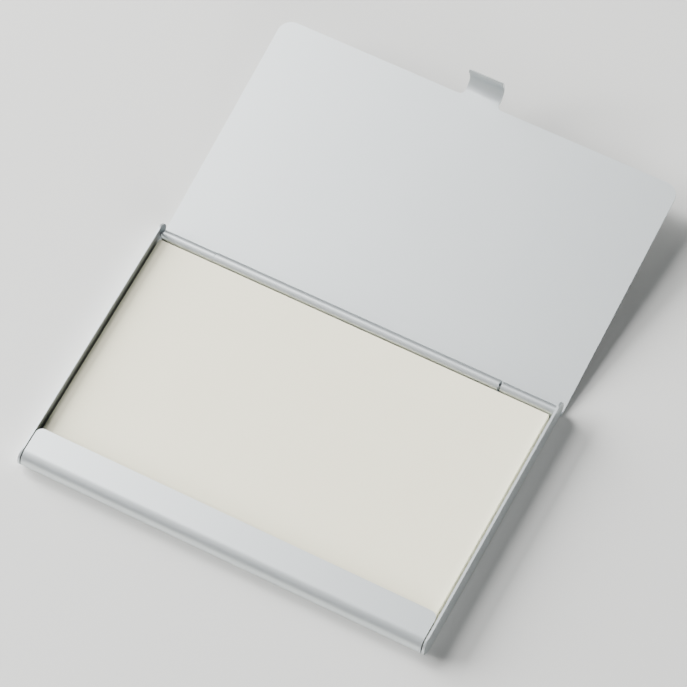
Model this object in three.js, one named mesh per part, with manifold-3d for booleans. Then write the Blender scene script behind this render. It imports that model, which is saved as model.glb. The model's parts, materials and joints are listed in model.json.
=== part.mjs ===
// A slim folding case for business cards, lying open, with a stack of blank cards in its tray.
//
// Millimetres. X runs across the case, Y from the front lip back to the hinge, Z up. The origin
// is the centre of the tray's underside, which lies on the table. The tray and the lid are each
// folded from one sheet. The lid is drawn closed, then turned about the hinge pin to its stop.

import * as THREE from 'three';
import { mergeVertices } from 'three/addons/utils/BufferGeometryUtils.js';
import Module from 'manifold-3d';

const wasm = await Module();
wasm.setup();

// ---------- driving dimensions ----------

// Cards
const cardWidth = 91;
const cardDepth = 55;
const cardThickness = 0.225;
const cardCount = 12;
const cardAirGap = 0.012;          // between one card and the next
const cardScatter = 0.1;           // how far a card lies from the middle of the stack
const stackSideShift = -0.3;       // the stack has slid towards -X

// Room around the stack
const cardSideClearance = 0.8;
const cardFrontClearance = 0.25;   // lowest card to the inside of the round nose
const cardRearClearance = 0.32;    // stack to hinge roll
const lipClearance = 1.15;         // top card to the underside of the lip

// Tray sheet
const traySheet = 0.5;
const traySideFold = 0.8;          // outer radius of the fold from floor to side wall
const trayRearFold = 0.9;          // outer radius of the fold up into the hinge roll
const lipDepth = 8.1;              // front face to the lip's rear edge
const lipCornerRadius = 1.5;
const lipEndGap = 0.3;             // lip's ends to the side walls

// Hinge
const pinRadius = 0.6;
const pinChamfer = 0.15;
const pinEndGap = 0.2;             // pin's ends to the side walls
const pinClearance = 0.05;
const lidKnuckleLength = 12.3;
const knuckleGap = 0.32;           // lid knuckles to the tray's long knuckle
const knuckleWallGap = 0.45;       // lid knuckles to the side walls
const trayCurl = 272;              // degrees that the tray's roll turns around the pin
const lidCurl = 250;               // degrees that the lid's rolls turn around the pin

// Lid sheet
const lidSheet = 0.5;
const lidClearance = 0.04;         // closed lid to the top of the tray
const lidTableClearance = 0.06;    // open lid's lowest edge to the table
const lidSideShift = 0.22;         // the lid has slid towards +X along the pin
const lidFrontSetback = 3.6;       // front face of the case to the lid's straight edge
const lidCornerRadius = 3;
const lidOpenAngle = 172.9;
const lidStopGap = 0.03;           // open lid's fold to the floor edge that stops it

// Catch: a narrow tab of the lid, hooked over the round front of the tray
const tabWidth = 8;
const tabNeckRadius = 1.4;
const hookClearance = 0.2;         // inside of the hook to the round nose
const hookTurn = 108;              // degrees
const flareRadius = 0.75;          // middle of the sheet
const flareTurn = 75;              // degrees

// Faces on a round stretch: one for each of these degrees
const arcStep = 7.5;

// ---------- derived dimensions ----------

const rad = THREE.MathUtils.degToRad;

const cardPitch = cardThickness + cardAirGap;
const caseHeight = 2 * traySheet + cardCount * cardPitch + lipClearance;
const innerWidth = cardWidth + 2 * cardSideClearance;
const caseWidth = innerWidth + 2 * traySheet;

const rollInner = pinRadius + pinClearance;
const trayRollOuter = rollInner + traySheet;
const lidRollOuter = rollInner + lidSheet;
const pinHeight = (caseHeight + lidClearance + lidSheet + lidTableClearance) / 2;
const earRadius = caseHeight - pinHeight;
const lidOffset = earRadius + lidClearance;      // pin's axis to the lid's inner face

const noseRadius = caseHeight / 2;
const noseInner = noseRadius - traySheet;
const cardNoseDepth = Math.sqrt(2 * noseInner * cardAirGap - cardAirGap ** 2);
const hookInnerRadius = noseRadius + hookClearance;
const stackFront = noseRadius - cardNoseDepth + cardFrontClearance;
const pinFromFront = stackFront + cardDepth + cardRearClearance + trayRollOuter;
const caseDepth = pinFromFront + earRadius;
const frontY = -caseDepth / 2;
const pinY = frontY + pinFromFront;

const trayKnuckleLength = innerWidth - 2 * (knuckleWallGap + lidKnuckleLength + knuckleGap);
const knuckleCentreX = (trayKnuckleLength + lidKnuckleLength) / 2 + knuckleGap;

// The open lid's rear fold comes to rest against the floor's rear edge.
const foldCentre = new THREE.Vector2(0, lidOffset - rollInner)
  .rotateAround(new THREE.Vector2(), rad(-lidOpenAngle));
const stopReach = lidRollOuter + lidStopGap;
const stopDrop = traySheet - pinHeight - foldCentre.y;
const floorEndY = pinY + foldCentre.x - Math.sqrt(stopReach ** 2 - stopDrop ** 2);

// ---------- solids ----------

const asSolid = (geometry) => {
  const bare = geometry.clone();
  bare.deleteAttribute('normal');
  bare.deleteAttribute('uv');
  const merged = mergeVertices(bare, 1e-5);
  return new wasm.Manifold(new wasm.Mesh({
    numProp: 3,
    vertProperties: new Float32Array(merged.attributes.position.array),
    triVerts: new Uint32Array(merged.index.array),
  }));
};

const asGeometry = (solid) => {
  const mesh = solid.getMesh();
  const geometry = new THREE.BufferGeometry();
  geometry.setAttribute('position', new THREE.BufferAttribute(mesh.vertProperties, 3));
  geometry.setIndex(new THREE.BufferAttribute(mesh.triVerts, 1));
  const flat = geometry.toNonIndexed();
  flat.computeVertexNormals();
  return flat;
};

// Where an outline's own x, y and extrusion point
const sideOn = new THREE.Matrix4().makeBasis(
  new THREE.Vector3(0, 1, 0), new THREE.Vector3(0, 0, 1), new THREE.Vector3(1, 0, 0));
const endOn = new THREE.Matrix4().makeBasis(
  new THREE.Vector3(1, 0, 0), new THREE.Vector3(0, 0, 1), new THREE.Vector3(0, -1, 0));

const extrude = (points, depth) => new THREE.ExtrudeGeometry(
  new THREE.Shape(points), { depth, bevelEnabled: false, steps: 1 });

// An outline in Y and Z, carried across X and centred on centreX
const acrossX = (points, length, centreX = 0) => asSolid(
  extrude(points, length).applyMatrix4(sideOn).translate(centreX - length / 2, 0, 0));

// An outline in X and Z, carried along Y from startY to endY
const alongY = (points, startY, endY) => asSolid(
  extrude(points, endY - startY).applyMatrix4(endOn).translate(0, endY, 0));

// An outline in X and Y, carried up Z from floorZ to topZ
const upZ = (points, floorZ, topZ) => asSolid(
  extrude(points, topZ - floorZ).translate(0, 0, floorZ));

const box = (low, high) => asSolid(
  new THREE.BoxGeometry(high[0] - low[0], high[1] - low[1], high[2] - low[2])
    .translate((low[0] + high[0]) / 2, (low[1] + high[1]) / 2, (low[2] + high[2]) / 2));

// Points of an arc from one angle to another, in degrees, both ends included
const arc = (x, y, radius, from, to) => {
  const steps = Math.max(2, Math.ceil(Math.abs(to - from) / arcStep));
  return Array.from({ length: steps + 1 }, (_, i) => {
    const angle = rad(from + (to - from) * i / steps);
    return new THREE.Vector2(x + radius * Math.cos(angle), y + radius * Math.sin(angle));
  });
};

// The section of a folded sheet. It walks along the middle of the sheet: line(length) goes
// straight, and bend(radius, turn) turns left by that many degrees, or right if negative.
class FoldedSheet {
  constructor(x, y, heading, thickness) {
    this.at = new THREE.Vector2(x, y);
    this.heading = heading;
    this.half = thickness / 2;
    this.left = [];
    this.right = [];
    this.mark();
  }

  mark() {
    const side = new THREE.Vector2(-Math.sin(rad(this.heading)), Math.cos(rad(this.heading)));
    this.left.push(this.at.clone().addScaledVector(side, this.half));
    this.right.push(this.at.clone().addScaledVector(side, -this.half));
  }

  line(length) {
    this.at.x += length * Math.cos(rad(this.heading));
    this.at.y += length * Math.sin(rad(this.heading));
    this.mark();
    return this;
  }

  bend(radius, turn) {
    const towards = this.heading + 90 * Math.sign(turn);
    const centre = this.at.clone().add(
      new THREE.Vector2(Math.cos(rad(towards)), Math.sin(rad(towards))).multiplyScalar(radius));
    const steps = Math.ceil(Math.abs(turn) / arcStep);
    for (let i = 0; i < steps; i += 1) {
      this.at.rotateAround(centre, rad(turn / steps));
      this.heading += turn / steps;
      this.mark();
    }
    return this;
  }

  outline() {
    return [...this.right, ...this.left.toReversed()];
  }
}

// ---------- tray ----------

const makeTray = () => {
  const lap = 2;                                  // how far joined stretches overlap
  const halfSheet = traySheet / 2;
  const halfInner = innerWidth / 2;

  // Floor and side walls, folded up from one sheet
  const sideRadius = traySideFold - halfSheet;
  const wallRise = caseHeight - traySideFold;
  const channel = new FoldedSheet(-caseWidth / 2 + halfSheet, caseHeight, -90, traySheet)
    .line(wallRise)
    .bend(sideRadius, 90)
    .line(caseWidth - 2 * traySideFold)
    .bend(sideRadius, 90)
    .line(wallRise);

  // Side view of the walls: round nose, straight top, and an ear about the pin
  const heelAngle = -110;
  const wallProfile = [
    ...arc(frontY + noseRadius, noseRadius, noseRadius, 90, 270),
    new THREE.Vector2(pinY - earRadius / 2, 0),
    ...arc(pinY, pinHeight, earRadius, heelAngle, 90),
  ];

  const rearRadius = trayRearFold - halfSheet;
  const rollRadius = trayRollOuter - halfSheet;
  const rearFoldY = pinY - rollRadius - rearRadius;
  const halfKnuckle = trayKnuckleLength / 2;
  const shell = alongY(channel.outline(), frontY, pinY + earRadius)
    .intersect(acrossX(wallProfile, caseWidth + lap))
    .subtract(box([-halfInner, frontY - lap, -lap], [halfInner, frontY + noseRadius, caseHeight + lap]))
    .subtract(box([-halfInner, floorEndY, -lap], [halfInner, pinY + caseHeight, caseHeight + lap]))
    .subtract(box([-halfKnuckle, rearFoldY, -lap], [halfKnuckle, pinY, caseHeight + lap]));

  // Lip: the floor's front edge, folded back over the stack around a full round nose
  const lipFold = new FoldedSheet(frontY + lipDepth, caseHeight - halfSheet, 180, traySheet)
    .line(lipDepth - noseRadius)
    .bend(noseRadius - halfSheet, 180)
    .line(lap);
  const lipHalf = halfInner - lipEndGap;
  const cornerCut = (side) => {
    const x = side * (lipHalf - lipCornerRadius);
    const y = frontY + lipDepth - lipCornerRadius;
    const round = side > 0
      ? arc(x, y, lipCornerRadius, 0, 90)
      : arc(x, y, lipCornerRadius, 90, 180);
    const outside = side > 0
      ? [[x, y + lap], [side * (lipHalf + lap), y + lap], [side * (lipHalf + lap), y]]
      : [[side * (lipHalf + lap), y], [side * (lipHalf + lap), y + lap], [x, y + lap]];
    const points = [...round, ...outside.map(([px, py]) => new THREE.Vector2(px, py))];
    return upZ(points, noseRadius, caseHeight + lap);
  };
  const lip = acrossX(lipFold.outline(), 2 * lipHalf)
    .subtract(cornerCut(1))
    .subtract(cornerCut(-1));

  // Long knuckle: the floor's rear edge, folded up in front of the pin and rolled over it
  const knuckle = new FoldedSheet(rearFoldY - lap, halfSheet, 0, traySheet)
    .line(lap)
    .bend(rearRadius, 90)
    .line(pinHeight - trayRearFold)
    .bend(rollRadius, -trayCurl);

  return shell.add(lip).add(acrossX(knuckle.outline(), trayKnuckleLength));
};

// ---------- lid, drawn closed about a pin at the origin of Y and Z ----------

const makeLid = () => {
  const lap = 2;
  const middle = lidOffset + lidSheet / 2;
  const edgeY = -pinFromFront + lidFrontSetback;
  const hookStartY = -pinFromFront + noseRadius;
  const halfWidth = caseWidth / 2;
  const halfTab = tabWidth / 2;
  const r = lidCornerRadius;
  const neck = Math.min(tabNeckRadius, edgeY - hookStartY);

  // Plan of the flat sheet, up to where the tab starts to hook over
  const plan = [
    new THREE.Vector2(halfWidth, 0),
    new THREE.Vector2(-halfWidth, 0),
    ...arc(-halfWidth + r, edgeY + r, r, 180, 270),
    ...arc(-halfTab - neck, edgeY - neck, neck, 90, 0),
    new THREE.Vector2(-halfTab, hookStartY - lidSheet / 2),
    new THREE.Vector2(halfTab, hookStartY - lidSheet / 2),
    ...arc(halfTab + neck, edgeY - neck, neck, 180, 90),
    ...arc(halfWidth - r, edgeY + r, r, 270, 360),
  ];
  const plate = upZ(plan, lidOffset, lidOffset + lidSheet);

  // Catch: over the tray's nose, then flared out as a finger lip
  const hook = new FoldedSheet(edgeY, middle, 180, lidSheet)
    .line(edgeY - hookStartY)
    .bend(hookInnerRadius + lidSheet / 2, hookTurn)
    .bend(flareRadius, -flareTurn);

  // Two short knuckles: down behind the pin, then rolled forward under it
  const rollRadius = lidRollOuter - lidSheet / 2;
  const knuckle = new FoldedSheet(-lap, middle, 0, lidSheet)
    .line(lap)
    .bend(rollRadius, -90)
    .line(middle - rollRadius)
    .bend(rollRadius, -lidCurl);

  return plate
    .add(acrossX(hook.outline(), tabWidth))
    .add(acrossX(knuckle.outline(), lidKnuckleLength, -knuckleCentreX))
    .add(acrossX(knuckle.outline(), lidKnuckleLength, knuckleCentreX));
};

// ---------- pin and cards ----------

const makePin = () => {
  const half = innerWidth / 2 - pinEndGap;
  const profile = [
    new THREE.Vector2(0, -half),
    new THREE.Vector2(pinRadius - pinChamfer, -half),
    new THREE.Vector2(pinRadius, -half + pinChamfer),
    new THREE.Vector2(pinRadius, half - pinChamfer),
    new THREE.Vector2(pinRadius - pinChamfer, half),
    new THREE.Vector2(0, half),
  ];
  return asSolid(new THREE.LatheGeometry(profile, 360 / arcStep).rotateZ(Math.PI / 2));
};

// Each card lies a little off the one below it, in a fixed pattern.
const cardPlace = (index) => new THREE.Vector3(
  stackSideShift + cardScatter * Math.sin(2.4 * index + 0.8),
  frontY + stackFront + cardDepth / 2 + cardScatter / 2 * Math.sin(3.9 * index),
  traySheet + cardAirGap + index * cardPitch + cardThickness / 2);

// ---------- materials ----------

const satinAluminium = () => new THREE.MeshStandardMaterial(
  { color: 0xc9cccf, roughness: 0.42, metalness: 0.9 });
const drawnSteel = () => new THREE.MeshStandardMaterial(
  { color: 0xa9abad, roughness: 0.3, metalness: 1 });
const creamCard = () => new THREE.MeshStandardMaterial(
  { color: 0xe6e2d8, roughness: 0.9, metalness: 0 });

// ---------- assembly ----------

const named = (name, geometry, material) => {
  const mesh = new THREE.Mesh(geometry, material);
  mesh.name = name;
  return mesh;
};

const cardCase = new THREE.Group();

cardCase.add(named('tray', asGeometry(makeTray()), satinAluminium()));

const pin = named('hinge_pin', asGeometry(makePin()), drawnSteel());
pin.position.set(0, pinY, pinHeight);
cardCase.add(pin);

const lidHinge = new THREE.Group();
lidHinge.position.set(lidSideShift, pinY, pinHeight);
lidHinge.rotation.x = rad(-lidOpenAngle);
lidHinge.add(named('lid', asGeometry(makeLid()), satinAluminium()));
cardCase.add(lidHinge);

for (let index = 0; index < cardCount; index += 1) {
  const card = named(
    `card_${String(index + 1).padStart(2, '0')}`,
    new THREE.BoxGeometry(cardWidth, cardDepth, cardThickness),
    creamCard());
  card.position.copy(cardPlace(index));
  cardCase.add(card);
}

export default cardCase;
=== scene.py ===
"""A slim folding case for business cards, lying open, with blank cards in its tray.

Each sheet of the case is grown from a flat blank as a sheet-metal worker folds it, then given
its thickness and its broken edges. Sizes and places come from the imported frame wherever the
frame has them. Lengths are in metres, +Z is up, and the front lip is towards -Y.
"""

import json
import logging
import math
from dataclasses import dataclass, field
from enum import Enum
from typing import Iterable

import bmesh
import bpy
from bmesh.types import BMEdge, BMFace, BMVert
from mathutils import Matrix, Vector


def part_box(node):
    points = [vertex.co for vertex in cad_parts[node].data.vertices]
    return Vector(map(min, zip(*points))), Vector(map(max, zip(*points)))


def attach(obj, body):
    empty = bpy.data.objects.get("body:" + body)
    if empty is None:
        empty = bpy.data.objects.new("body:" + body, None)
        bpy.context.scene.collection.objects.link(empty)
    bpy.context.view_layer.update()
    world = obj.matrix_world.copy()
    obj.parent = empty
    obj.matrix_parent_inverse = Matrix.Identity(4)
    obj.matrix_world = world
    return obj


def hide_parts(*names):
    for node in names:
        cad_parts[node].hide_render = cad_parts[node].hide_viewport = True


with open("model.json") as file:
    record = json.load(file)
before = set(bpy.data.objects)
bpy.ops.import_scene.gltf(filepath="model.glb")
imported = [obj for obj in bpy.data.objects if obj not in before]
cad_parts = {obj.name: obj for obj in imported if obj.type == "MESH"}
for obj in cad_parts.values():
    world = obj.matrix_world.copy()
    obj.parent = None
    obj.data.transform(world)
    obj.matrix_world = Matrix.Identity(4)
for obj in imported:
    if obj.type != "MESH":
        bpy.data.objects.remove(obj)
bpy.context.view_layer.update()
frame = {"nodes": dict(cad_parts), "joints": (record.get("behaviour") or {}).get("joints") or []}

LOG = logging.getLogger("card_case")
MM = 0.001
X_AXIS = Vector((1.0, 0.0, 0.0))
Y_AXIS = Vector((0.0, 1.0, 0.0))
Z_AXIS = Vector((0.0, 0.0, 1.0))

# How finely folds and corners are divided, and which edges count as cut ones
FOLD_STEP = 7.5
LEAST_FOLD_STEPS = 3
CORNER_SEGMENTS = 8
MERGE_DISTANCE = 0.0005 * MM
SHARP_ANGLE = math.radians(50.0)

# The most of a straight edge that the round at its end may take
ROUND_SHARE = 0.98

# Scale of the grain's coarse noise, as a share of its fine noise
COARSE_SCALE = 0.23


# ---------- places that the frame gives ----------


@dataclass(frozen=True)
class CasePlaces:
    """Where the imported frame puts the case's main faces, and its hinge."""

    front_y: float
    width: float
    height: float
    pin_y: float
    pin_z: float
    pin_radius: float
    pin_length: float
    lid_middle_x: float
    open_angle: float

    @classmethod
    def from_frame(cls) -> "CasePlaces":
        """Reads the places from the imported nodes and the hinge's joint."""
        tray_low, tray_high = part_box("tray")
        lid_low, lid_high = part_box("lid")
        pin_low, pin_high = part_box("hinge_pin")
        hinge = next(joint for joint in frame["joints"] if joint["name"] == "lid_hinge")
        return cls(
            front_y=tray_low.y,
            width=tray_high.x - tray_low.x,
            height=tray_high.z,
            pin_y=hinge["pos_m"][1],
            pin_z=hinge["pos_m"][2],
            pin_radius=(pin_high.z - pin_low.z) / 2,
            pin_length=pin_high.x - pin_low.x,
            lid_middle_x=(lid_low.x + lid_high.x) / 2,
            open_angle=math.radians(-hinge["range_deg"][0]),
        )

    @property
    def nose_radius(self) -> float:
        """Radius of the tray's full round front."""
        return self.height / 2

    @property
    def nose_y(self) -> float:
        """Where the round front ends and the flat of the floor begins."""
        return self.front_y + self.nose_radius

    @property
    def ear_radius(self) -> float:
        """Radius of the side walls' rear ends, around the pin."""
        return self.height - self.pin_z


# ---------- folding sheet ----------


class FoldedSheet:
    """The middle surface of a folded sheet, grown from a blank edge by edge."""

    def __init__(self) -> None:
        """Starts with nothing cut."""
        self.mesh = bmesh.new()

    def blank(self, corners: Iterable[Vector]) -> BMFace:
        """Cuts a flat blank.

        Args:
            corners: Its corners in order.

        Returns:
            The blank's one face.
        """
        verts = [bmesh.ops.create_vert(self.mesh, co=corner)["vert"][0] for corner in corners]
        return bmesh.ops.contextual_create(self.mesh, geom=verts)["faces"][0]

    def edge_between(self, start: Vector, end: Vector) -> BMEdge:
        """Finds an edge by its two ends.

        Args:
            start: One end.
            end: The other end.

        Returns:
            The edge whose ends lie nearest to those points.
        """
        def miss(edge: BMEdge) -> float:
            a, b = (vert.co for vert in edge.verts)
            return min((a - start).length + (b - end).length, (a - end).length + (b - start).length)

        return min(self.mesh.edges, key=miss)

    def vert_at(self, place: Vector) -> BMVert:
        """Finds the vertex nearest to a place."""
        return min(self.mesh.verts, key=lambda vert: (vert.co - place).length)

    def fold(self, edge: BMEdge, centre: Vector, axis: Vector, degrees: float) -> BMEdge:
        """Carries an edge round an axis, leaving a curved stretch of sheet behind it.

        Args:
            edge: The edge to carry.
            centre: A point on the axis of the fold.
            axis: The axis's direction.
            degrees: How far it turns, by the right-hand rule.

        Returns:
            The carried edge.
        """
        steps = max(LEAST_FOLD_STEPS, math.ceil(abs(degrees) / FOLD_STEP))
        made = bmesh.ops.spin(
            self.mesh, geom=[edge, *edge.verts], cent=centre, axis=axis,
            angle=math.radians(degrees), steps=steps, use_merge=False, use_duplicate=False,
        )
        return next(item for item in made["geom_last"] if isinstance(item, BMEdge))

    def push(self, edge: BMEdge, offset: Vector) -> BMEdge:
        """Carries an edge straight, leaving a flat stretch of sheet behind it.

        Args:
            edge: The edge to carry.
            offset: How far, and which way.

        Returns:
            The carried edge.
        """
        made = bmesh.ops.extrude_edge_only(self.mesh, edges=[edge])["geom"]
        verts = [item for item in made if isinstance(item, BMVert)]
        bmesh.ops.translate(self.mesh, verts=verts, vec=offset)
        ends = set(verts)
        return next(
            item for item in made if isinstance(item, BMEdge) and set(item.verts) == ends
        )

    def round_corner(self, place: Vector, radius: float) -> None:
        """Rounds the blank's corner at a place, in its own plane."""
        bmesh.ops.bevel(
            self.mesh, geom=[self.vert_at(place)], offset=radius, offset_type="OFFSET",
            segments=CORNER_SEGMENTS, profile=0.5, affect="VERTICES", material=-1,
        )

    def finish(self, name: str, thickness: float, edge_break: float) -> bpy.types.Object:
        """Gives the sheet its thickness and breaks its cut edges.

        Args:
            name: The piece's name.
            thickness: The sheet's thickness.
            edge_break: Width of the soft edge all round.

        Returns:
            The piece, at the origin.
        """
        bmesh.ops.remove_doubles(self.mesh, verts=self.mesh.verts, dist=MERGE_DISTANCE)
        bmesh.ops.recalc_face_normals(self.mesh, faces=self.mesh.faces)
        piece = object_from(self.mesh, name)
        shell = piece.modifiers.new("thickness", "SOLIDIFY")
        shell.thickness = thickness
        shell.offset = 0.0
        shell.use_even_offset = True
        soften_edges(piece, edge_break)
        return piece


def object_from(mesh: bmesh.types.BMesh, name: str) -> bpy.types.Object:
    """Turns a bmesh into a smooth-shaded object in the scene, and frees it."""
    for face in mesh.faces:
        face.smooth = True
    data = bpy.data.meshes.new(name)
    mesh.to_mesh(data)
    mesh.free()
    piece = bpy.data.objects.new(name, data)
    bpy.context.scene.collection.objects.link(piece)
    return piece


def soften_edges(piece: bpy.types.Object, width: float, segments: int = 3) -> None:
    """Rounds a piece's sharp edges, and keeps its flat faces shading flat.

    Args:
        piece: The piece.
        width: Width of the rounding.
        segments: Faces across it.
    """
    bevel = piece.modifiers.new("broken_edges", "BEVEL")
    bevel.width = width
    bevel.segments = segments
    bevel.limit_method = "ANGLE"
    bevel.angle_limit = SHARP_ANGLE
    bevel.miter_outer = "MITER_ARC"
    weights = piece.modifiers.new("flat_faces", "WEIGHTED_NORMAL")
    weights.mode = "FACE_AREA"
    weights.weight = 100


# ---------- shader node groups ----------


class NodeGroups:
    """The shader node groups that several finishes share, each built once."""

    def __init__(self) -> None:
        """Builds every group."""
        self.grain = self._grain()
        self.handling = self._handling()

    @staticmethod
    def _group(name: str, inputs: dict[str, float], outputs: list[str]) -> bpy.types.NodeTree:
        """Makes an empty group with float sockets.

        Args:
            name: The group's name.
            inputs: Input names and their defaults.
            outputs: Output names.

        Returns:
            The group, with its input and output nodes in place.
        """
        tree = bpy.data.node_groups.new(name, "ShaderNodeTree")
        tree.interface.new_socket("Vector", in_out="INPUT", socket_type="NodeSocketVector")
        for socket, value in inputs.items():
            made = tree.interface.new_socket(socket, in_out="INPUT", socket_type="NodeSocketFloat")
            made.default_value = value
        for socket in outputs:
            tree.interface.new_socket(socket, in_out="OUTPUT", socket_type="NodeSocketFloat")
        tree.nodes.new("NodeGroupInput").name = "in"
        tree.nodes.new("NodeGroupOutput").name = "out"
        return tree

    @staticmethod
    def _scale_for_pitch(tree: bpy.types.NodeTree) -> bpy.types.ShaderNodeMath:
        """Turns a group's pitch in metres into a noise scale."""
        scale = tree.nodes.new("ShaderNodeMath")
        scale.operation = "DIVIDE"
        scale.inputs[0].default_value = 1.0
        tree.links.new(tree.nodes["in"].outputs["Pitch"], scale.inputs[1])
        return scale

    def _grain(self) -> bpy.types.NodeTree:
        """Fine even grain: two sizes of noise, as a height from 0 to 1."""
        tree = self._group("fine_grain", {"Pitch": 0.0003, "Coarse Share": 0.3}, ["Height"])
        links = tree.links
        start = tree.nodes["in"]
        scale = self._scale_for_pitch(tree)
        fine = tree.nodes.new("ShaderNodeTexNoise")
        fine.inputs["Detail"].default_value = 2.0
        links.new(start.outputs["Vector"], fine.inputs["Vector"])
        links.new(scale.outputs[0], fine.inputs["Scale"])
        wide = tree.nodes.new("ShaderNodeMath")
        wide.operation = "MULTIPLY"
        wide.inputs[1].default_value = COARSE_SCALE
        links.new(scale.outputs[0], wide.inputs[0])
        coarse = tree.nodes.new("ShaderNodeTexNoise")
        coarse.inputs["Detail"].default_value = 3.0
        links.new(start.outputs["Vector"], coarse.inputs["Vector"])
        links.new(wide.outputs[0], coarse.inputs["Scale"])
        mix = tree.nodes.new("ShaderNodeMix")
        links.new(start.outputs["Coarse Share"], mix.inputs["Factor"])
        links.new(fine.outputs["Fac"], mix.inputs["A"])
        links.new(coarse.outputs["Fac"], mix.inputs["B"])
        links.new(mix.outputs["Result"], tree.nodes["out"].inputs["Height"])
        return tree

    def _handling(self) -> bpy.types.NodeTree:
        """Broad faint clouds, as handling and making leave them, from 0 to 1."""
        tree = self._group("handling_clouds", {"Pitch": 0.02, "Contrast": 1.0}, ["Mask"])
        links = tree.links
        start = tree.nodes["in"]
        scale = self._scale_for_pitch(tree)
        clouds = tree.nodes.new("ShaderNodeTexNoise")
        clouds.inputs["Detail"].default_value = 4.0
        clouds.inputs["Roughness"].default_value = 0.55
        links.new(start.outputs["Vector"], clouds.inputs["Vector"])
        links.new(scale.outputs[0], clouds.inputs["Scale"])
        centred = tree.nodes.new("ShaderNodeMath")
        centred.operation = "SUBTRACT"
        centred.inputs[1].default_value = 0.5
        links.new(clouds.outputs["Fac"], centred.inputs[0])
        spread = tree.nodes.new("ShaderNodeMath")
        spread.operation = "MULTIPLY_ADD"
        spread.inputs[2].default_value = 0.5
        spread.use_clamp = True
        links.new(centred.outputs[0], spread.inputs[0])
        links.new(start.outputs["Contrast"], spread.inputs[1])
        links.new(spread.outputs[0], tree.nodes["out"].inputs["Mask"])
        return tree


# ---------- finishes ----------


class Shade(Enum):
    """Base colours, as linear red, green and blue."""

    ANODISED = (0.66, 0.695, 0.70)
    ANODISED_CLOUD = (0.635, 0.67, 0.68)
    WIRE = (0.56, 0.57, 0.58)
    WIRE_CLOUD = (0.47, 0.48, 0.49)
    CREAM = (0.87, 0.835, 0.64)
    CREAM_CLOUD = (0.855, 0.815, 0.62)
    TABLE = (0.60, 0.60, 0.58)
    TABLE_CLOUD = (0.59, 0.59, 0.57)

    @property
    def rgba(self) -> tuple[float, float, float, float]:
        """The colour with full alpha."""
        return (*self.value, 1.0)


@dataclass(frozen=True)
class Finish:
    """A surface finish: two close colours in clouds, with a fine grain over them."""

    name: str
    colour: Shade
    cloud: Shade
    metallic: float
    roughness: float
    roughness_spread: float
    cloud_pitch: float
    grain_pitch: float
    grain_depth: float
    grain_share: float = 0.3
    cloud_contrast: float = 1.6

    def material(self, groups: NodeGroups) -> bpy.types.Material:
        """Builds the finish's material.

        Args:
            groups: The shared node groups.

        Returns:
            The material.
        """
        made = bpy.data.materials.new(self.name)
        made.use_nodes = True
        tree = made.node_tree
        shader = tree.nodes["Principled BSDF"]
        shader.inputs["Metallic"].default_value = self.metallic
        place = tree.nodes.new("ShaderNodeTexCoord")

        clouds = tree.nodes.new("ShaderNodeGroup")
        clouds.node_tree = groups.handling
        clouds.inputs["Pitch"].default_value = self.cloud_pitch
        clouds.inputs["Contrast"].default_value = self.cloud_contrast
        tree.links.new(place.outputs["Object"], clouds.inputs["Vector"])

        grain = tree.nodes.new("ShaderNodeGroup")
        grain.node_tree = groups.grain
        grain.inputs["Pitch"].default_value = self.grain_pitch
        grain.inputs["Coarse Share"].default_value = self.grain_share
        tree.links.new(place.outputs["Object"], grain.inputs["Vector"])

        colour = tree.nodes.new("ShaderNodeMix")
        colour.data_type = "RGBA"
        colour.inputs["A"].default_value = self.colour.rgba
        colour.inputs["B"].default_value = self.cloud.rgba
        tree.links.new(clouds.outputs["Mask"], colour.inputs["Factor"])
        tree.links.new(colour.outputs["Result"], shader.inputs["Base Color"])

        polish = tree.nodes.new("ShaderNodeMapRange")
        polish.inputs["To Min"].default_value = self.roughness - self.roughness_spread
        polish.inputs["To Max"].default_value = self.roughness + self.roughness_spread
        tree.links.new(grain.outputs["Height"], polish.inputs["Value"])
        tree.links.new(polish.outputs["Result"], shader.inputs["Roughness"])

        relief = tree.nodes.new("ShaderNodeBump")
        relief.inputs["Strength"].default_value = 1.0
        relief.inputs["Distance"].default_value = self.grain_depth
        tree.links.new(grain.outputs["Height"], relief.inputs["Height"])
        tree.links.new(relief.outputs["Normal"], shader.inputs["Normal"])
        return made


SATIN_ALUMINIUM = Finish(
    name="satin_anodised_aluminium", colour=Shade.ANODISED, cloud=Shade.ANODISED_CLOUD,
    metallic=1.0, roughness=0.46, roughness_spread=0.05, cloud_pitch=22 * MM,
    grain_pitch=0.28 * MM, grain_depth=0.0022 * MM,
)
DRAWN_WIRE = Finish(
    name="drawn_steel_wire", colour=Shade.WIRE, cloud=Shade.WIRE_CLOUD,
    metallic=1.0, roughness=0.3, roughness_spread=0.06, cloud_pitch=3 * MM,
    grain_pitch=0.12 * MM, grain_depth=0.001 * MM,
)
CREAM_CARD = Finish(
    name="uncoated_cream_card", colour=Shade.CREAM, cloud=Shade.CREAM_CLOUD,
    metallic=0.0, roughness=0.82, roughness_spread=0.05, cloud_pitch=9 * MM,
    grain_pitch=0.22 * MM, grain_depth=0.004 * MM, grain_share=0.45,
)
PALE_TABLE = Finish(
    name="pale_table", colour=Shade.TABLE, cloud=Shade.TABLE_CLOUD,
    metallic=0.0, roughness=0.75, roughness_spread=0.03, cloud_pitch=120 * MM,
    grain_pitch=1.2 * MM, grain_depth=0.002 * MM,
)


# ---------- the case's pieces ----------


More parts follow.
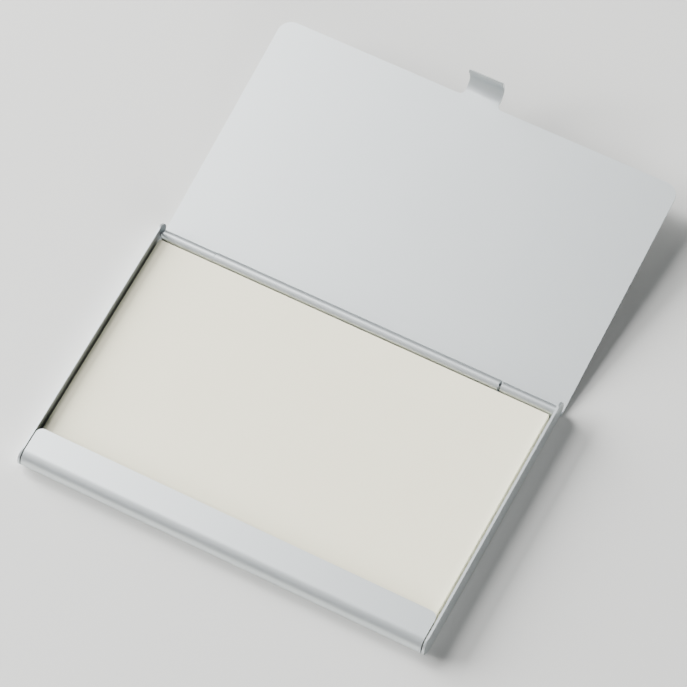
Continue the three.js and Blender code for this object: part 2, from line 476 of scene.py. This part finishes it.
@dataclass
class Tray:
    """The folded tray: floor, side walls, rolled-over lip and the hinge's long knuckle.

    The walls' round ends, and the curl, are angles in degrees. The heel is how far in front of
    the pin the floor and the walls' folds end, away from the long knuckle.
    """

    places: CasePlaces
    sheet: float = 0.5 * MM
    side_fold: float = 0.8 * MM
    rear_fold: float = 0.9 * MM
    lip_depth: float = 8.1 * MM
    lip_corner: float = 1.5 * MM
    pin_clearance: float = 0.05 * MM
    lid_knuckle: float = 12.3 * MM
    knuckle_gap: float = 0.32 * MM
    wall_gap: float = 0.45 * MM
    curl: float = 272.0
    heel: float = 1.1 * MM
    heel_angle: float = -110.0
    nose_start: float = 266.0
    relief: float = 0.15 * MM
    edge_break: float = 0.07 * MM

    @property
    def roll_radius(self) -> float:
        """Radius of the knuckle at the middle of the sheet."""
        return self.places.pin_radius + self.pin_clearance + self.sheet / 2

    @property
    def half_knuckle(self) -> float:
        """Half the long knuckle's length."""
        taken = self.wall_gap + self.lid_knuckle + self.knuckle_gap
        return self.places.width / 2 - self.sheet - taken

    def build(self) -> bpy.types.Object:
        """Folds the tray.

        Returns:
            The tray.
        """
        metal = FoldedSheet()
        at = self.places
        flat = at.width / 2 - self.side_fold
        middle = self.sheet / 2
        rear_y = at.pin_y - self.heel
        fold_y = at.pin_y - self.roll_radius - (self.rear_fold - middle)
        half = self.half_knuckle
        metal.blank([
            Vector((-flat, at.nose_y, middle)), Vector((flat, at.nose_y, middle)),
            Vector((flat, rear_y, middle)), Vector((half, rear_y, middle)),
            Vector((half, fold_y, middle)), Vector((-half, fold_y, middle)),
            Vector((-half, rear_y, middle)), Vector((-flat, rear_y, middle)),
        ])
        self._fold_lip(metal, flat, middle)
        self._roll_knuckle(metal, half, fold_y, middle)
        for side in (-1, 1):
            self._fold_wall(metal, side, flat, middle, rear_y)
        return metal.finish("tray_sheet", self.sheet, self.edge_break)

    def _fold_lip(self, metal: FoldedSheet, flat: float, middle: float) -> None:
        """Folds the floor's front edge up and back over the cards."""
        at = self.places
        front = metal.edge_between(
            Vector((-flat, at.nose_y, middle)), Vector((flat, at.nose_y, middle)))
        centre = Vector((0.0, at.nose_y, at.nose_radius))
        over = metal.fold(front, centre, X_AXIS, -180.0)
        metal.push(over, Y_AXIS * (self.lip_depth - at.nose_radius))
        for side in (-1, 1):
            corner = Vector((side * flat, at.front_y + self.lip_depth, at.height - middle))
            metal.round_corner(corner, self.lip_corner)

    def _roll_knuckle(self, metal: FoldedSheet, half: float, fold_y: float, middle: float) -> None:
        """Folds the floor's rear edge up in front of the pin, and rolls it over the pin."""
        at = self.places
        rear = metal.edge_between(Vector((-half, fold_y, middle)), Vector((half, fold_y, middle)))
        up = metal.fold(rear, Vector((0.0, fold_y, self.rear_fold)), X_AXIS, 90.0)
        beside = metal.push(up, Z_AXIS * (at.pin_z - self.rear_fold))
        metal.fold(beside, Vector((0.0, at.pin_y, at.pin_z)), X_AXIS, -self.curl)

    def _fold_wall(
        self, metal: FoldedSheet, side: int, flat: float, middle: float, rear_y: float
    ) -> None:
        """Folds up one side wall, with its round nose and its ear about the pin.

        Args:
            metal: The sheet.
            side: -1 for the left wall, 1 for the right.
            flat: Half-width of the floor's flat.
            middle: Height of the middle of the floor's sheet.
            rear_y: Where the wall's fold ends.
        """
        at = self.places
        start = Vector((side * flat, at.nose_y, middle))
        end = Vector((side * flat, rear_y, middle))
        axis = Vector((side * flat, 0.0, self.side_fold))
        upright = metal.fold(metal.edge_between(start, end), axis, Y_AXIS, -90.0 * side)
        x = side * (at.width / 2 - middle)
        foot_z = self.side_fold
        outline = [Vector((x, at.nose_y, foot_z)), Vector((x, at.nose_y - self.relief, foot_z))]
        outline += arc_points(x, at.nose_y, at.nose_radius, at.nose_radius, self.nose_start, 90.0)
        outline += arc_points(x, at.pin_y, at.pin_z, at.ear_radius, 90.0, self.heel_angle)
        outline.append(Vector((x, rear_y, foot_z)))
        wall = metal.blank(outline)
        bmesh.ops.remove_doubles(
            metal.mesh, verts=[*wall.verts, *upright.verts], dist=MERGE_DISTANCE)


def arc_points(
    x: float, y: float, z: float, radius: float, start: float, end: float
) -> list[Vector]:
    """Points on an arc in a plane across X, both ends included.

    Args:
        x: The plane's place.
        y: The centre's place along Y.
        z: The centre's height.
        radius: The arc's radius.
        start: Its first angle in degrees, from +Y towards +Z.
        end: Its last angle.

    Returns:
        The points in order.
    """
    steps = math.ceil(abs(end - start) / FOLD_STEP)
    angles = (math.radians(start + (end - start) * i / steps) for i in range(steps + 1))
    return [Vector((x, y + radius * math.cos(a), z + radius * math.sin(a))) for a in angles]


@dataclass
class Lid:
    """The lid: a flat sheet with two short knuckles and a hooked catch tab."""

    places: CasePlaces
    tray: Tray
    sheet: float = 0.5 * MM
    clearance: float = 0.04 * MM
    front_setback: float = 3.6 * MM
    corner: float = 3.0 * MM
    rear_corner: float = 0.35 * MM
    tab_width: float = 8.0 * MM
    neck_radius: float = 1.4 * MM
    hook_clearance: float = 0.2 * MM
    hook_turn: float = 108.0
    flare_radius: float = 0.75 * MM
    flare_turn: float = 75.0
    curl: float = 250.0
    edge_break: float = 0.07 * MM

    @property
    def roll_inner(self) -> float:
        """Inside radius of the knuckles."""
        return self.places.pin_radius + self.tray.pin_clearance

    @property
    def offset(self) -> float:
        """From the pin's axis to the lid's inner face."""
        return self.places.ear_radius + self.clearance

    def build(self) -> bpy.types.Object:
        """Folds the lid closed, with the pin's axis at the origin, and opens it.

        Returns:
            The lid.
        """
        metal = FoldedSheet()
        at = self.places
        level = self.offset + self.sheet / 2
        half = at.width / 2
        from_pin = at.front_y - at.pin_y
        edge_y = from_pin + self.front_setback
        hook_y = from_pin + at.nose_radius
        tab = self.tab_width / 2
        neck = min(self.neck_radius, ROUND_SHARE * (edge_y - hook_y))
        inner = self.tray.half_knuckle + self.tray.knuckle_gap
        outer = inner + self.tray.lid_knuckle
        plan = [
            (-half, 0.0), (-outer, 0.0), (-inner, 0.0), (inner, 0.0), (outer, 0.0), (half, 0.0),
            (half, edge_y), (tab, edge_y), (tab, hook_y), (-tab, hook_y), (-tab, edge_y),
            (-half, edge_y),
        ]
        metal.blank(Vector((x, y, level)) for x, y in plan)
        self._hook_tab(metal, tab, hook_y, level)
        for side in (-1, 1):
            self._roll_knuckle(metal, Vector((side * inner, 0.0, level)),
                               Vector((side * outer, 0.0, level)))
            metal.round_corner(Vector((side * half, edge_y, level)), self.corner)
            metal.round_corner(Vector((side * tab, edge_y, level)), neck)
            metal.round_corner(Vector((side * half, 0.0, level)), self.rear_corner)
        opened = Matrix.Rotation(-at.open_angle, 4, "X")
        placed = Matrix.Translation((at.lid_middle_x, at.pin_y, at.pin_z)) @ opened
        bmesh.ops.transform(metal.mesh, matrix=placed, verts=metal.mesh.verts)
        return metal.finish("lid_sheet", self.sheet, self.edge_break)

    def _hook_tab(self, metal: FoldedSheet, tab: float, hook_y: float, level: float) -> None:
        """Hooks the tab over the tray's nose, and flares its end into a finger lip."""
        end = metal.edge_between(Vector((-tab, hook_y, level)), Vector((tab, hook_y, level)))
        radius = self.places.nose_radius + self.hook_clearance + self.sheet / 2
        centre = Vector((0.0, hook_y, level - radius))
        down = metal.fold(end, centre, X_AXIS, self.hook_turn)
        tip = (down.verts[0].co + down.verts[1].co) / 2
        outward = (tip - centre).normalized()
        metal.fold(down, tip + outward * self.flare_radius, X_AXIS, -self.flare_turn)

    def _roll_knuckle(self, metal: FoldedSheet, start: Vector, end: Vector) -> None:
        """Folds one stretch of the rear edge down behind the pin, and rolls it under the pin."""
        radius = self.roll_inner + self.sheet / 2
        drop = start.z - radius
        down = metal.fold(metal.edge_between(start, end), Z_AXIS * drop, X_AXIS, -90.0)
        behind = metal.push(down, -Z_AXIS * drop)
        metal.fold(behind, Vector((0.0, 0.0, 0.0)), X_AXIS, -self.curl)


@dataclass
class HingePin:
    """The wire through the knuckles."""

    places: CasePlaces
    segments: int = 48
    chamfer: float = 0.15 * MM

    def build(self) -> bpy.types.Object:
        """Turns the pin.

        Returns:
            The pin.
        """
        mesh = bmesh.new()
        at = self.places
        lying = Matrix.Rotation(math.radians(90.0), 4, "Y")
        bmesh.ops.create_cone(
            mesh, cap_ends=True, segments=self.segments, radius1=at.pin_radius,
            radius2=at.pin_radius, depth=at.pin_length,
            matrix=Matrix.Translation((0.0, at.pin_y, at.pin_z)) @ lying,
        )
        rims = [edge for edge in mesh.edges if edge.calc_face_angle() > SHARP_ANGLE]
        bmesh.ops.bevel(
            mesh, geom=rims, offset=self.chamfer, offset_type="OFFSET", segments=3,
            profile=0.5, affect="EDGES", material=-1,
        )
        piece = object_from(mesh, "hinge_wire")
        weights = piece.modifiers.new("flat_faces", "WEIGHTED_NORMAL")
        weights.mode = "FACE_AREA"
        return piece


@dataclass
class CardStack:
    """The blank cards, one piece each."""

    edge_break: float = 0.025 * MM
    names: list[str] = field(
        default_factory=lambda: sorted(n for n in frame["nodes"] if n.startswith("card_")))

    def build(self, name: str) -> bpy.types.Object:
        """Cuts one card.

        Args:
            name: The CAD card whose place it takes.

        Returns:
            The card.
        """
        low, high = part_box(name)
        mesh = bmesh.new()
        size = Matrix.Diagonal((*(high - low), 1.0))
        bmesh.ops.create_cube(mesh, size=1.0, matrix=Matrix.Translation((low + high) / 2) @ size)
        piece = object_from(mesh, f"{name}_stock")
        soften_edges(piece, self.edge_break, segments=2)
        return piece


# ---------- studio ----------

LIGHT_TARGET = Vector((0.0, 0.02, 0.0))


@dataclass(frozen=True)
class Softbox:
    """A rectangular soft light that faces the case.

    Its bearing is in degrees from +X towards +Y, and its elevation in degrees above the table.
    """

    name: str
    bearing: float
    elevation: float
    width: float
    height: float
    watts: float
    colour: tuple[float, float, float] = (1.0, 1.0, 1.0)
    distance: float = 1.5

    def build(self) -> None:
        """Hangs the light, out of the camera's sight."""
        lamp = bpy.data.lights.new(self.name, "AREA")
        lamp.shape = "RECTANGLE"
        lamp.size = self.width
        lamp.size_y = self.height
        lamp.energy = self.watts
        lamp.color = self.colour
        holder = bpy.data.objects.new(self.name, lamp)
        turn = math.radians(self.bearing)
        rise = math.radians(self.elevation)
        away = Vector((
            math.cos(rise) * math.cos(turn), math.cos(rise) * math.sin(turn), math.sin(rise)))
        holder.location = away * self.distance + LIGHT_TARGET
        holder.rotation_euler = (-away).to_track_quat("-Z", "Y").to_euler()
        holder.visible_camera = False
        bpy.context.scene.collection.objects.link(holder)


@dataclass
class Studio:
    """The table, the lights and the camera."""

    groups: NodeGroups
    aim: tuple[float, float, float] = (0.0, 0.02288, 0.0025)
    distance: float = 0.84423
    azimuth: float = 35.522
    elevation: float = 62.994
    roll: float = -8.125
    lens: float = 215.313
    table_size: float = 8.0
    ambient: tuple[float, float, float] = (0.82, 0.92, 1.0)
    ambient_strength: float = 0.1
    lights: tuple[Softbox, ...] = (
        Softbox("window", bearing=180.0, elevation=20.0, width=1.5, height=0.8, watts=127.0),
        Softbox("high", bearing=156.0, elevation=46.0, width=0.5, height=0.5, watts=24.0),
        Softbox("front_fill", bearing=310.0, elevation=16.0, width=0.75, height=0.4, watts=18.0),
    )

    def camera(self) -> None:
        """Stands the camera at its viewing angle."""
        turn = math.radians(self.azimuth)
        rise = math.radians(self.elevation)
        towards = Vector((
            math.cos(rise) * math.sin(turn), -math.cos(rise) * math.cos(turn), math.sin(rise)))
        level = towards.to_track_quat("Z", "Y").to_matrix().to_4x4()
        tilt = Matrix.Rotation(math.radians(self.roll), 4, "Z")
        data = bpy.data.cameras.new("camera")
        data.lens = self.lens
        data.clip_end = 20.0
        holder = bpy.data.objects.new("camera", data)
        place = Matrix.Translation(Vector(self.aim) + towards * self.distance)
        holder.matrix_world = place @ level @ tilt
        bpy.context.scene.collection.objects.link(holder)
        bpy.context.scene.camera = holder

    def table(self) -> None:
        """Lays the plain pale surface that the case lies on."""
        mesh = bmesh.new()
        bmesh.ops.create_grid(mesh, x_segments=1, y_segments=1, size=self.table_size / 2)
        surface = object_from(mesh, "table")
        surface.data.materials.append(PALE_TABLE.material(self.groups))

    def ambient_light(self) -> None:
        """Fills the room with soft even light."""
        world = bpy.data.worlds.new("studio")
        world.use_nodes = True
        backdrop = world.node_tree.nodes["Background"]
        backdrop.inputs["Color"].default_value = (*self.ambient, 1.0)
        backdrop.inputs["Strength"].default_value = self.ambient_strength
        bpy.context.scene.world = world

    def build(self) -> None:
        """Sets up everything that isn't the case."""
        self.camera()
        self.table()
        self.ambient_light()
        for light in self.lights:
            light.build()


# ---------- assembly ----------


@dataclass
class CardCase:
    """The whole case: its pieces, built, dressed and put on their bodies."""

    groups: NodeGroups
    places: CasePlaces = field(default_factory=CasePlaces.from_frame)

    def place(self, piece: bpy.types.Object, material: bpy.types.Material, body: str,
              node: str, slot: str) -> None:
        """Dresses a piece and puts it where its CAD node was.

        Args:
            piece: The piece.
            material: Its material.
            body: The body that it rides on.
            node: The CAD node that it stands for.
            slot: The record's material slot; not used.
        """
        piece.data.materials.append(material)
        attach(piece, body)
        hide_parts(node)
        LOG.info("%s: %d faces before finishing, on %s", piece.name, len(piece.data.polygons), body)

    def build(self) -> None:
        """Builds every piece."""
        aluminium = SATIN_ALUMINIUM.material(self.groups)
        tray = Tray(self.places)
        lid = Lid(self.places, tray)
        stack = CardStack()
        self.place(tray.build(), aluminium, "tray", "tray", "tray_sheet")
        self.place(lid.build(), aluminium, "lid", "lid", "lid_sheet")
        self.place(HingePin(self.places).build(), DRAWN_WIRE.material(self.groups),
                   "tray", "hinge_pin", "pin")
        card_stock = CREAM_CARD.material(self.groups)
        for name in stack.names:
            self.place(stack.build(name), card_stock, "tray", name, "card")


def main() -> None:
    """Builds the case and its studio, piece by piece."""
    logging.basicConfig(level=logging.INFO, format="%(name)s: %(message)s")
    groups = NodeGroups()
    Studio(groups).build()
    CardCase(groups).build()


if __name__ == "__main__":
    main()
